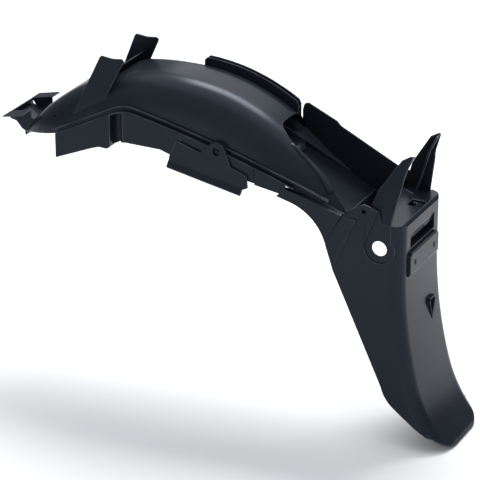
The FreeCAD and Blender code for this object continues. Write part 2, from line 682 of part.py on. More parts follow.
def well():
    """Floor and front bulkhead of the well, its side walls, the far wall and the rib behind it."""
    across = HOOD_HALF - 0.4 * WALL
    floor = prism([(BULKHEAD_X, floor_z(BULKHEAD_X)), (FLOOR_END_X, FLOOR_END_Z),
                   (FLOOR_END_X, FLOOR_END_Z - WALL), (BULKHEAD_X, floor_z(BULKHEAD_X) - WALL)],
                  -across, across)
    under = 0.5 * WALL
    raised = prism([(BULKHEAD_X, floor_z(BULKHEAD_X) + STEP_RISE), (STEP_X, floor_z(STEP_X) + STEP_RISE),
                    (STEP_X, floor_z(STEP_X) - under), (BULKHEAD_X, floor_z(BULKHEAD_X) - under)],
                   -across, across)
    slant = slab([(STEP_X, 0.5 * across), (STEP_X + WALL, across + WALL),
                  (STEP_X - 2 * STEP_RISE, across + WALL)], -FAR / 2, FAR / 2)
    sections = []
    for x, width, step in ((BULKHEAD_X, STRIP_WIDTH, STRIP_STEP), (STRIP_END_X, WALL, WALL)):
        wall = FAR_WALL_HALF - under
        base = floor_z(x) - under
        corners = [V(x, wall, base), V(x, wall - width, base), V(x, wall - width, base + step),
                   V(x, wall - 0.5 * width, base + 1.6 * step), V(x, wall, base + 3 * step)]
        sections.append(Part.makePolygon(corners + corners[:1]))
    strip = Part.makeLoft(sections, True, True)
    base = floor_z(BULKHEAD_X) - WALL
    bulkhead = Part.makeBox(WALL, 2 * across, FAR, V(BULKHEAD_X, -across, base))
    bulkhead = bulkhead.common(hood_core(0.5 * WALL, NOSE_X + WALL, HOOD_END_X))
    side = prism([(BULKHEAD_X, ledge(BULKHEAD_X) - GROOVE), (HOOD_END_X, ledge(HOOD_END_X) - GROOVE),
                  (HOOD_END_X, floor_z(HOOD_END_X) - WALL), (FLOOR_END_X, FLOOR_END_Z - WALL),
                  (BULKHEAD_X, floor_z(BULKHEAD_X) - WALL)], *BACK_WALL)
    end = FAR_WALL_END_X
    top = FAR_WALL_Z
    far = prism([(WELL_FRONT_X - 6, top - 14), (WELL_FRONT_X - 3, top - 4), (WELL_FRONT_X + 4, top - 1.5),
                 (WELL_FRONT_X + 52, top - 23), (WELL_FRONT_X + 59, top - 30), (end - 2, top - 79),
                 (end, TAIL_TOP_Z - 14), (FLOOR_END_X - 4, FLOOR_END_Z - WALL),
                 (WELL_FRONT_X - 6, floor_z(WELL_FRONT_X))], FAR_WALL_HALF - WALL, FAR_WALL_HALF)
    rib = Part.makeBox(WALL, TAIL_HALF - 1, 32, V(end - 7, 0, TAIL_TOP_Z - 14))
    sill = Part.makeBox(WALL, TAIL_HALF, 14, V(end - 7, -TAIL_HALF + 1, TAIL_TOP_Z - 14))
    low = FLOOR_END_Z - PIT_DEPTH
    back = TAIL_REAR_X - BOX_LENGTH + under
    lip = FLOOR_END_X + 3 * WALL
    half = TAIL_HALF - 0.5 * TAIL_WALL
    pit = prism([(FLOOR_END_X, FLOOR_END_Z), (lip, low), (back, low), (back, TAIL_TOP_Z - 1),
                 (back + WALL, TAIL_TOP_Z - 1), (back + WALL, low - WALL), (lip - WALL, low - WALL),
                 (FLOOR_END_X - WALL, FLOOR_END_Z - WALL)], -half, half)
    return [floor] + both(side) + [bulkhead, far, rib, sill, pit, raised.cut(slant), strip]


def tail_shell():
    """Hollow tail with rounded flap corners and the set-back front edge of its right wall."""
    half = TAIL_HALF - TAIL_WALL
    roof = TAIL_TOP_Z - TAIL_WALL
    open_top = Part.makeBox(FAR, 2 * half, FAR, V(TAIL_REAR_X - BOX_LENGTH - FAR, -half, roof - 1))
    body = tail_block().common(tail_outline()).cut(tail_core()).cut(open_top)
    _, _, end, angle = rear_line(0)
    down = V(math.sin(angle), 0, -math.cos(angle))
    out = V(math.cos(angle), 0, math.sin(angle))
    reach = 2 * FLAP_ROUND
    for side in (-1, 1):
        across = V(0, side, 0)
        centre = V(end[0], side * (TAIL_HALF - 0.35 * TAIL_CORNER_R - FLAP_ROUND), end[1])
        centre = centre - down * FLAP_ROUND - out * reach

        def at(u, v):
            return centre + down * u + across * v

        bow = FLAP_ROUND * math.sqrt(0.5)
        edges = [
            Part.Arc(at(FLAP_ROUND, 0), at(bow, bow), at(0, FLAP_ROUND)).toShape(),
            Part.makeLine(at(0, FLAP_ROUND), at(0, reach)),
            Part.makeLine(at(0, reach), at(reach, reach)),
            Part.makeLine(at(reach, reach), at(reach, 0)),
            Part.makeLine(at(reach, 0), at(FLAP_ROUND, 0)),
        ]
        body = body.cut(Part.Face(Part.Wire(edges)).extrude(out * (1.5 * reach)))
    hip = (TAIL_REAR_X - HIP_IN, TAIL_TOP_Z - HIP_DROP)
    relief = prism([(hip[0] - 20, hip[1] + 52), (hip[0] + RIGHT_SET_BACK + 8, hip[1] - 12),
                    (hip[0] + RIGHT_SET_BACK + 34, hip[1] - 100), (hip[0] + 57, hip[1] - 121),
                    (hip[0] - 40, hip[1] - 121), (hip[0] - 40, hip[1] + 52)], TAIL_HALF / 2, TAIL_HALF + 5)
    return body.cut(relief)


def tail_top():
    """Flange under the top edge of the left tail wall, the lug above it and the ear with its rib."""
    inner = -(HOOD_HALF - 0.7 * WALL)
    x = TAIL_REAR_X - 193
    crown = (LEDGE_END_X + 22, TAIL_TOP_Z + 1)
    z = ledge(x) - 2 * GROOVE
    flange = prism([(x - 12, z - 5), (x, z), crown, (crown[0], crown[1] - WALL), (x, z - WALL),
                    (x - 12, z - 5 - WALL)], -TAIL_HALF + 0.5, inner)
    lug = prism([(LUG_X - 37, TAIL_TOP_Z), (LUG_X - 5, LUG_Z - 2), (LUG_X, LUG_Z), (LUG_X + 6, LUG_Z - 2),
                 (LUG_X + 24, LUG_Z - 7), (LUG_X + 30, TAIL_TOP_Z - 6), (LUG_X - 37, TAIL_TOP_Z - 12)],
                -TAIL_HALF, -TAIL_HALF + TAIL_WALL)
    facet = []
    for y, raised in ((-TAIL_HALF + 1, 0.0), (-TAIL_HALF, FACET_PROUD)):
        corners = [V(LUG_X - 35, y, TAIL_TOP_Z), V(LUG_X - 11, y - raised, TAIL_TOP_Z),
                   V(TAIL_REAR_X - HIP_IN, y, TAIL_TOP_Z - HIP_DROP + 8)]
        facet.append(Part.makePolygon(corners + corners[:1]))
    facet = Part.makeLoft(facet, True, True)
    foot = TAIL_TOP_Z - 5
    top = EAR_TIP_Z
    front = TAIL_REAR_X - 63
    ear = prism([(front, foot), (TAIL_REAR_X - 20.5, foot), (TAIL_REAR_X - 7.5, top - 42),
                 (TAIL_REAR_X - 7.5, top - 38), (TAIL_REAR_X - 5, top - 27), (TAIL_REAR_X + 4, top),
                 (TAIL_REAR_X, top + 1.5), (TAIL_REAR_X - 13.5, top - 7), (front + 17.5, top - 58)],
                -EAR_BASE_HALF, -EAR_BASE_HALF + EAR_WALL)
    rib = prism([(front + 24, foot), (TAIL_REAR_X - 10, top - 27), (TAIL_REAR_X + 3, top - 1),
                 (TAIL_REAR_X, top), (TAIL_REAR_X - 13.5, top - 26), (front + 20, foot)],
                -EAR_BASE_HALF + 0.5 * EAR_WALL, -EAR_BASE_HALF + EAR_WALL + EAR_RIB)
    lean = math.degrees(math.atan2(EAR_TIP_IN, EAR_TIP_Z - TAIL_TOP_Z))
    for piece in (ear, rib):
        piece.rotate(V(0, -EAR_BASE_HALF, TAIL_TOP_Z), V(1, 0, 0), -lean)
    boss = drum(LUG_X, LUG_HOLE_Z, 0.5 * LUG_HOLE_D + WALL, -TAIL_HALF + 1, -TAIL_HALF + LUG_BOSS)
    return [flange, lug, ear, rib, boss, facet]


def bore_recess(grow):
    """Outline of the recess around the left end of the bore and up towards the ear."""
    circle = drum(0, 0, BORE_RECESS_R + grow, -TAIL_HALF - 2, -TAIL_HALF + TAIL_WALL + RECESS)
    high = TAIL_TOP_Z + 20
    strip = prism([(-BORE_RECESS_R + 2 - grow, 10), (-1 - grow, high), (18 + grow, high), (18 + grow, 8),
                   (BORE_RECESS_R - 4 + grow, 2)], -TAIL_HALF - 2, -TAIL_HALF + TAIL_WALL + RECESS)
    return circle.fuse(strip)


def rear_pieces():
    """Plate pad, lamp recess and small catch on the rear face, with the cuts that open them."""
    x = TAIL_REAR_X
    z1 = PAD_TOP_Z
    z0 = PAD_TOP_Z - PAD_HEIGHT
    outline = [(-PAD_HALF, z0), (PAD_HALF, z0), (PAD_HALF, z1 - 6), (PAD_HALF - 6, z1), (-PAD_HALF + 6, z1),
               (-PAD_HALF, z1 - 6)]
    corners = [V(x - 2, y, z) for y, z in outline]
    pad = Part.Face(Part.makePolygon(corners + corners[:1])).extrude(V(PAD_PROUD + 2, 0, 0))
    face = x + PAD_PROUD
    bevel = prism([(face + 1, z1 + 1), (face - 1.5, z1 + 1), (face, z1 - 3), (face, z0 + 5), (x + 1.5, z0 - 1),
                   (face + 1, z0 - 1)], -PAD_HALF - 1, PAD_HALF + 1)
    pad = pad.cut(bevel)
    space = Part.makeBox(PAD_PROUD + 20, 2 * PAD_HALF - 2 * WALL, PAD_HEIGHT - 4 * WALL,
                         V(x - 20 - WALL, -PAD_HALF + WALL, z0 + 2 * WALL))
    cuts = [space]
    for side in (-1, 1):
        y = side * PAD_HOLE_PITCH / 2
        cuts.append(Part.makeBox(40, PAD_HOLE_W, PAD_HOLE_H,
                                 V(x - 15, y - PAD_HOLE_W / 2, (z0 + z1 - PAD_HOLE_H) / 2)))
    lamp, lamp_cuts = lamp_panel()
    catch, catch_hole = cable_catch()
    socket, socket_cuts = top_socket()
    return [pad, lamp, catch] + socket, cuts + lamp_cuts + [catch_hole] + socket_cuts


def lamp_panel():
    """Backing of the sunk lamp panel between the pad and the top, and the cuts that shape it."""
    x = TAIL_REAR_X
    low = PAD_TOP_Z + 5
    high = TAIL_TOP_Z - 2 * TOP_ROUND
    shelf = low + 0.4 * (high - low)
    deep = x - LAMP_DEPTH
    backing = prism([(x - 1, low - 4), (x - 1, high + 3), (x - 5, high + 3), (deep - WALL, shelf + WALL),
                     (deep - WALL, low - 4)], -LAMP_HALF - WALL, LAMP_HALF + WALL)
    recess = prism([(x + 2, low), (x + 2, high), (x - 1, high - 1), (x - 0.4 * LAMP_DEPTH, shelf),
                    (deep, shelf - 1), (deep, low)], -LAMP_HALF, LAMP_HALF)
    slot = Part.makeBox(LAMP_DEPTH, LAMP_SLOT, 2, V(deep, -LAMP_SLOT / 2, shelf + 0.45 * (high - shelf)))
    return backing, [recess, slot]


def cable_catch():
    """Drop-shaped catch on the rear face with a hole under its brow."""
    top = CATCH_Z
    tip = CATCH_Z - CATCH_HEIGHT
    half = CATCH_WIDTH / 2

    def drop(inset):
        outline = [(-half + inset, top - half / 2), (-0.7 * half + inset, top - inset),
                   (0.7 * half - inset, top - inset), (half - inset, top - half / 2),
                   (0.8 * half - inset, top - half), (0, tip + 2.5 * inset), (-0.8 * half + inset, top - half)]
        corners = [V(TAIL_REAR_X - TAIL_WALL, CATCH_Y + y, z) for y, z in outline]
        return Part.Face(Part.makePolygon(corners + corners[:1])).extrude(V(CATCH_HEIGHT, 0, 0))

    wedge = prism([(TAIL_REAR_X - 2 * WALL, top + 1), (rear_x(top, 0) + CATCH_PROUD, top + 1),
                   (rear_x(tip, 0) + 1, tip - 1), (TAIL_REAR_X - 2 * WALL, tip - 1)],
                  CATCH_Y - CATCH_WIDTH, CATCH_Y + CATCH_WIDTH)
    return drop(0).common(wedge), drop(WALL)


def top_socket():
    """Plate and blind socket under the sunk square in the tail's top, with their cuts and a slit."""
    side = SOCKET_SIDE
    x = SOCKET_X - side / 2
    y = SOCKET_Y - side / 2
    roof = TAIL_TOP_Z - TAIL_WALL
    wide = side + 2 * WALL
    plate = Part.makeBox(wide, wide, 2 * WALL, V(x - WALL, y - WALL, roof - 1.5 * WALL))
    hole_x = 0.35 * side
    hole_y = 0.75 * side
    deep = SOCKET_DEPTH
    cup = Part.makeBox(hole_x + 2 * WALL, hole_y + 2 * WALL, deep,
                       V(x + 1 - WALL, y + 2 - WALL, roof - deep))
    sunk = slab([(x, y), (x + 0.8 * side, y), (x + side, y + 0.2 * side), (x + side, y + 0.8 * side),
                 (x + 0.8 * side, y + side), (x, y + side)], roof - 0.2 * WALL, TAIL_TOP_Z + side)
    hole = Part.makeBox(hole_x, hole_y, FAR, V(x + 1, y + 2, roof - deep + WALL))
    slit_end = x - side / 3
    slit = slab([(slit_end - side, y + 2.3 * side), (slit_end, y + 1.75 * side), (slit_end - 1, y + 1.68 * side),
                 (slit_end - side - 1, y + 2.23 * side)], roof - 1, TAIL_TOP_Z + side)
    return [plate, cup], [sunk, hole, slit]


def mudguard():
    """The whole moulding."""
    pieces = [tail_shell()] + well()
    clip_pieces, clip_hole = clip()
    for piece in skirts() + clip_pieces + rear_skirt() + tail_top():
        pieces += both(piece)
    rear, cuts = rear_pieces()
    pieces += rear
    below = Part.makeBox(FAR, TAIL_WALL + RECESS - 1, FAR, V(-FAR / 2, -TAIL_HALF + 1, TAIL_TOP_Z - FAR))
    pieces += both(bore_recess(TAIL_WALL).common(below))
    part = joined(hood_shell(), pieces)
    cuts += both(clip_hole)
    outside = Part.makeBox(FAR, RECESS + 2, FAR, V(-FAR / 2, -TAIL_HALF - 2, -FAR / 2))
    recess = bore_recess(0).common(outside)
    cuts += both(recess)
    cuts.append(drum(0, 0, BORE_D / 2, -TAIL_HALF - 5, TAIL_HALF + 5))
    cuts += both(drum(LUG_X, LUG_HOLE_Z, LUG_HOLE_D / 2, -TAIL_HALF - 5, -TAIL_HALF + LUG_BOSS - WALL))
    for cut in cuts:
        part = part.cut(cut)
    return part.removeSplitter()


if __name__ == "__main__":
    part = mudguard()
    os.makedirs("parts", exist_ok=True)
    print("solids", len(part.Solids), "valid", part.isValid(), "volume", round(part.Volume))
    part.exportStep("parts/rear_mudguard.step")
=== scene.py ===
"""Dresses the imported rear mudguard: one moulding of black polypropylene in a plain studio."""
from __future__ import annotations

import logging
import math
from dataclasses import dataclass, field
from enum import Enum

import bmesh
import bpy
import numpy as np
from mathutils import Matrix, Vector


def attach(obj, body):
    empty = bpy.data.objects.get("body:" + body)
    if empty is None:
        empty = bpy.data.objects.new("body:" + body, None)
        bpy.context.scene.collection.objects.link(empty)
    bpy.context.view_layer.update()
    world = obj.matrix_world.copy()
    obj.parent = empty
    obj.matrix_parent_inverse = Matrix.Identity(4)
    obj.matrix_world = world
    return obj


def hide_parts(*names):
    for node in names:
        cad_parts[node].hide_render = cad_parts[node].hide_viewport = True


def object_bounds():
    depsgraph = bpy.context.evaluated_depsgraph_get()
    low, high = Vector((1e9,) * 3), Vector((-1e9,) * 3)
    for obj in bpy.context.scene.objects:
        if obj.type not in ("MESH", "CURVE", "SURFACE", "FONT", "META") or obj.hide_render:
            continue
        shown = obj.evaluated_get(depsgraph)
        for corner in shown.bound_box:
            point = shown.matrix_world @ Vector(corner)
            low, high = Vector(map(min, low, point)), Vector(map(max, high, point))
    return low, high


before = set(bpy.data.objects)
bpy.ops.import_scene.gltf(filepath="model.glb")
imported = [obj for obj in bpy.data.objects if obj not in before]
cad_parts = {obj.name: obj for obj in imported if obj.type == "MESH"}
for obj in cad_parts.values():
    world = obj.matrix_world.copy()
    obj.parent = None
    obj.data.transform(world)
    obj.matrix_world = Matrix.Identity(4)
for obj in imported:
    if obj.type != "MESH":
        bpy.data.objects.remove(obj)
CAD_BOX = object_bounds()

LOG = logging.getLogger("rear_mudguard")
MM = 0.001
Point = tuple[float, float, float]


class Side(Enum):
    """The part's two sides, with the sign that takes a point of the left side to each."""

    LEFT = 1.0
    RIGHT = -1.0


class MouldingSlot(Enum):
    """The moulding's two materials, the skin and the painted highlight on its broken edges, with the place
    of each in its list of materials.
    """

    SKIN = 0
    # the bevelled edges take a pale grey, a painted highlight for the light their rounding catches
    EDGE = 1


def linear(hex_colour: str) -> tuple[float, float, float, float]:
    """Turns an sRGB hex colour into linear light, by the two branches of the sRGB curve.

    Args:
        hex_colour: six hex digits, with or without a leading hash.

    Returns:
        Linear red, green, blue and an alpha of 1.
    """
    digits = hex_colour.lstrip("#")
    srgb = np.array([int(digits[i:i + 2], 16) for i in (0, 2, 4)]) / 255.0
    low = srgb / 12.92
    high = ((srgb + 0.055) / 1.055) ** 2.4
    red, green, blue = np.where(srgb <= 0.04045, low, high)
    return float(red), float(green), float(blue), 1.0


def add_node(tree: bpy.types.NodeTree, kind: str, settings: dict | None = None,
             links: dict | None = None) -> bpy.types.Node:
    """Adds one node with its settings and its links.

    Args:
        tree: the node tree that gets the node.
        kind: the node's class name in Blender.
        settings: input names with their values, or attribute names with theirs.
        links: input names with the output sockets that feed them.

    Returns:
        The new node.
    """
    node = tree.nodes.new(kind)
    for name, value in (settings or {}).items():
        if name in node.inputs:
            node.inputs[name].default_value = value
        else:
            setattr(node, name, value)
    for name, socket in (links or {}).items():
        tree.links.new(socket, node.inputs[name])
    return node


@dataclass(frozen=True)
class MouldedPolypropylene:
    """Black polypropylene, injection moulded in a fine spark-eroded tool.

    Carbon black with a little blue gives a cold near-black. The eroded tool leaves a fine matt grain, so
    lights spread into soft bands, and the melt's flow leaves broad faint changes of tone and gloss.
    """

    name: str = "moulded_black_polypropylene"
    colour: str = "#1b1e25"
    # the flow noise's second tone: on the skin a real change of tone, on the edges a painted highlight
    flow_and_highlight_colour: str = "#20242b"
    ior: float = 1.49
    specular: float = 0.21
    gloss_tint: str = "#d3e1f8"
    roughness_low: float = 0.22
    roughness_high: float = 0.28
    # the real grain is about 0.1 mm; it is drawn at 1.2 mm so that it shows
    grain_mm: float = 1.2
    grain_depth_mm: float = 0.012
    grain_detail: float = 2.0
    flow_mm: float = 140.0
    flow_detail: float = 3.0
    # the stretch of the flow's noise over which tone and gloss change
    flow_low: float = 0.2
    flow_high: float = 0.8

    def material(self) -> bpy.types.Material:
        """Builds the node material.

        Returns:
            The finished material.
        """
        made = bpy.data.materials.new(self.name)
        made.use_nodes = True
        tree = made.node_tree
        tree.nodes.clear()
        place = add_node(tree, "ShaderNodeTexCoord")
        flow = add_node(tree, "ShaderNodeTexNoise",
                        {"Scale": 1.0 / (self.flow_mm * MM), "Detail": self.flow_detail},
                        {"Vector": place.outputs["Object"]})
        grain = add_node(tree, "ShaderNodeTexNoise",
                         {"Scale": 1.0 / (self.grain_mm * MM), "Detail": self.grain_detail},
                         {"Vector": place.outputs["Object"]})
        tone = add_node(tree, "ShaderNodeValToRGB", links={"Fac": flow.outputs["Fac"]})
        tone.color_ramp.interpolation = "EASE"
        # the second stop carries the flow tone on the skin and the painted highlight on the edges
        base_stop, flow_and_highlight_stop = tone.color_ramp.elements
        base_stop.position = self.flow_low
        base_stop.color = linear(self.colour)
        flow_and_highlight_stop.position = self.flow_high
        flow_and_highlight_stop.color = linear(self.flow_and_highlight_colour)
        gloss = add_node(tree, "ShaderNodeMapRange",
                         {"interpolation_type": "SMOOTHSTEP",
                          "From Min": self.flow_low, "From Max": self.flow_high,
                          "To Min": self.roughness_low, "To Max": self.roughness_high},
                         {"Value": flow.outputs["Fac"]})
        bump = add_node(tree, "ShaderNodeBump", {"Strength": 1.0, "Distance": self.grain_depth_mm * MM},
                        {"Height": grain.outputs["Fac"]})
        shader = add_node(tree, "ShaderNodeBsdfPrincipled",
                          {"IOR": self.ior, "Specular IOR Level": self.specular, "Metallic": 0.0,
                           "Specular Tint": linear(self.gloss_tint)},
                          {"Base Color": tone.outputs["Color"], "Roughness": gloss.outputs["Result"],
                           "Normal": bump.outputs["Normal"]})
        add_node(tree, "ShaderNodeOutputMaterial", links={"Surface": shader.outputs["BSDF"]})
        return made


@dataclass(frozen=True)
class PaintedEdgeHighlight(MouldedPolypropylene):
    """The same plastic on the moulding's broken edges, with a painted highlight.

    A pale grey is painted on in patches, in place of the light that the edges' rounding catches, so edges
    show as broken pale lines.
    """

    name: str = "painted_edge_highlight"
    colour: str = "#22262d"
    # painted highlight: a pale grey standing for the light that the rounded edges catch
    flow_and_highlight_colour: str = "#4a5059"
    roughness_low: float = 0.32
    roughness_high: float = 0.4
    flow_mm: float = 28.0


@dataclass
class Moulding:
    """The whole mudguard: the frame's solid welded into one skin, with its outer edges broken."""

    node: str = "rear_mudguard"
    name: str = "mudguard_moulding"
    # points closer than this become one point
    weld: float = 0.004 * MM
    # triangles that bend by less than this become one flat face
    flat_angle: float = math.radians(0.4)
    # least bend of an edge that stays sharp, on the outside and on the side of the mould's core
    edge_angle: float = math.radians(12.0)
    core_angle: float = math.radians(33.0)
    # least bend of an edge that is broken
    break_angle: float = math.radians(28.0)
    edge_radius: float = 1.1 * MM
    edge_steps: int = 2
    # most that a broken edge takes of the shortest edge that meets it
    edge_share: float = 0.45
    # the core's middle, by its height in the hood and by its x in the tail, and the x of the tail's front
    hood_axis: float = 100.0 * MM
    tail_axis: float = -50.0 * MM
    tail_front: float = -190.0 * MM

    def faces_core(self, face: bmesh.types.BMFace) -> bool:
        """Tells whether a face looks towards the middle of the hood's arch or of the tail.

        Args:
            face: a face of the skin.

        Returns:
            True for a face that the mould's core shaped.
        """
        middle = face.calc_center_median()
        axis = Vector((middle.x, 0.0, self.hood_axis))
        if middle.x > self.tail_front:
            axis = Vector((self.tail_axis, 0.0, middle.z))
        return face.normal.dot(axis - middle) > 0.0

    def number_patches(self, work: bmesh.types.BMesh) -> bmesh.types.BMLayerItem:
        """Numbers the smooth patches, each made of triangles that already share corners.

        Args:
            work: the frame's triangles before they are welded.

        Returns:
            The face layer with the number of each face's patch.
        """
        patch = work.faces.layers.int.new("smooth_patch")
        count = 0
        for seed in work.faces:
            if seed[patch]:
                continue
            count += 1
            seed[patch] = count
            waiting = [seed]
            while waiting:
                for edge in waiting.pop().edges:
                    for face in edge.link_faces:
                        if not face[patch]:
                            face[patch] = count
                            waiting.append(face)
        LOG.info("%s: %d smooth patches", self.name, count)
        return patch

    def mark_edges(self, work: bmesh.types.BMesh, patch: bmesh.types.BMLayerItem) -> None:
        """Marks the edges that stay sharp and sets how far each is broken.

        An edge between two patches is sharp above the least bend. Sharp edges that stand out are broken,
        and less where a short edge meets them.

        Args:
            work: the welded skin.
            patch: the face layer with the number of the smooth patch that each face belongs to.
        """
        weight = work.edges.layers.float.new("bevel_weight_edge")
        broken = []
        for edge in work.edges:
            edge.smooth = True
            if len(edge.link_faces) != 2:
                continue
            first, second = edge.link_faces
            inside = self.faces_core(first) and self.faces_core(second)
            limit = self.core_angle if inside else self.edge_angle
            angle = edge.calc_face_angle()
            edge.smooth = first[patch] == second[patch] or angle < limit
            if not edge.smooth and angle > self.break_angle and edge.is_convex:
                broken.append(edge)
        shortest = {}
        for edge in broken:
            for end in edge.verts:
                shortest[end] = min(side.calc_length() for side in end.link_edges)
        for edge in broken:
            room = min(shortest[end] for end in edge.verts)
            edge[weight] = min(1.0, self.edge_share * room / self.edge_radius)

    def skin(self) -> bpy.types.Mesh:
        """Copies the frame's triangles and welds them into one closed skin.

        Points within the weld distance become one point, and triangles of one plane become one face. The
        copy's own shading is dropped, since the skin gets new sharp edges.

        Returns:
            The welded mesh.
        """
        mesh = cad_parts[self.node].data.copy()
        mesh.name = self.name
        for attribute in ("custom_normal", "sharp_face", "sharp_edge"):
            if attribute in mesh.attributes:
                mesh.attributes.remove(mesh.attributes[attribute])
        work = bmesh.new()
        work.from_mesh(mesh)
        for face in work.faces:
            face.smooth = True
        patch = self.number_patches(work)
        bmesh.ops.remove_doubles(work, verts=work.verts, dist=self.weld)
        bmesh.ops.dissolve_limit(work, angle_limit=self.flat_angle, verts=work.verts, edges=work.edges)
        work.normal_update()
        self.mark_edges(work, patch)
        work.to_mesh(mesh)
        work.free()
        return mesh

    def build(self) -> bpy.types.Object:
        """Makes the skin an object with its edges broken.

        Returns:
            The finished piece.
        """
        piece = bpy.data.objects.new(self.name, self.skin())
        bpy.context.scene.collection.objects.link(piece)
        edges = piece.modifiers.new("broken_edges", "BEVEL")
        edges.limit_method = "WEIGHT"
        edges.width = self.edge_radius
        edges.segments = self.edge_steps
        edges.use_clamp_overlap = False
        edges.harden_normals = True
        # the bevel's faces take the painted edge highlight
        edges.material = MouldingSlot.EDGE.value
        LOG.info("%s: %d faces", piece.name, len(piece.data.polygons))
        return piece

    def dress(self, piece: bpy.types.Object, slot_materials: dict[MouldingSlot, bpy.types.Material]) -> None:
        """Gives the piece its skin material and its painted edge highlight, and its place in the frame.

        Args:
            piece: the object from build.
            slot_materials: the material of each slot.
        """
        piece.data.materials.clear()
        for slot in MouldingSlot:
            piece.data.materials.append(slot_materials[slot])
        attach(piece, "root")
        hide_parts(self.node)


def parameters(rows: int, columns: int) -> tuple[np.ndarray, np.ndarray]:
    """Spreads two parameters, each from 0 to 1, over a grid.

    Args:
        rows: points along the first parameter.
        columns: points along the second one.

    Returns:
        Both parameters at every point, rows by columns.
    """
    u, v = np.meshgrid(np.linspace(0.0, 1.0, rows), np.linspace(0.0, 1.0, columns), indexing="ij")
    return u, v


def grid_faces(number: np.ndarray) -> np.ndarray:
    """Joins each four neighbours of a grid of points into a quad.

    Args:
        number: the points' numbers, rows by columns.

    Returns:
        Four point numbers for each quad.
    """
    corners = (number[:-1, :-1], number[1:, :-1], number[1:, 1:], number[:-1, 1:])
    return np.stack(corners, -1).reshape(-1, 4)


def between(outside: np.ndarray, inside: np.ndarray, name: str) -> bpy.types.Mesh:
    """Closes the space between two sheets of points into one mesh.

    Both sheets are grids of two parameters of the same size. The mesh takes the first sheet, the second one
    turned over, and a band of quads round their borders. It is turned inside out if its volume comes out
    negative, as the sum over its triangles of their pyramids from the origin.

    Args:
        outside: points of the outer sheet, rows by columns by three.
        inside: points of the inner sheet.
        name: the mesh's name.

    Returns:
        The closed mesh, smooth shaded.
    """
    rows, columns = outside.shape[:2]
    total = rows * columns
    number = np.arange(total).reshape(rows, columns)
    front = grid_faces(number)
    ring = np.concatenate([number[0, :-1], number[:-1, -1], number[-1, :0:-1], number[:0:-1, 0]])
    after = np.roll(ring, -1)
    band = np.stack([ring, after, after + total, ring + total], 1)
    faces = np.concatenate([front, front[:, ::-1] + total, band])
    points = np.concatenate([outside.reshape(-1, 3), inside.reshape(-1, 3)])
    corner = points[faces]
    first = np.einsum("ij,ij->i", corner[:, 0], np.cross(corner[:, 1], corner[:, 2]))
    second = np.einsum("ij,ij->i", corner[:, 0], np.cross(corner[:, 2], corner[:, 3]))
    if (first + second).sum() < 0.0:
        faces = faces[:, ::-1]
    mesh = bpy.data.meshes.new(name)
    mesh.from_pydata(points.tolist(), [], faces.tolist())
    mesh.polygons.foreach_set("use_smooth", np.ones(len(faces), dtype=bool))
    return mesh


@dataclass
class AddedForm:
    """A small form of the moulding that the solid lacks, on one side of the part or on both.

    Edges that bend by more than the crease angle stay sharp.
    """

    name: str = "added_form"
    sides: tuple[Side, ...] = (Side.LEFT,)
    crease: float = math.radians(35.0)

    def sheets(self) -> tuple[np.ndarray, np.ndarray]:
        """Works out the form on the left side, in metres.

        Returns:
            The outer and the inner sheet of points.
        """
        raise NotImplementedError

    def build(self) -> list[bpy.types.Object]:
        """Makes the form on each of its sides, the right one as the left one's mirror image.

        Returns:
            One object for each side.
        """
        outside, inside = self.sheets()
        pieces = []
        for side in self.sides:
            flip = np.array([1.0, side.value, 1.0])
            mesh = between(outside * flip, inside * flip, f"{self.name}_{side.name.lower()}")
            mesh.set_sharp_from_angle(angle=self.crease)
            piece = bpy.data.objects.new(mesh.name, mesh)
            bpy.context.scene.collection.objects.link(piece)
            pieces.append(piece)
            LOG.info("%s: %d faces", piece.name, len(mesh.polygons))
        return pieces

    def dress(self, pieces: list[bpy.types.Object], material: bpy.types.Material) -> None:
        """Gives the pieces the moulding's material and their place in the frame.

        Args:
            pieces: the objects from build.
            material: the moulding's material.
        """
        for piece in pieces:
            piece.data.materials.append(material)
            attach(piece, "root")


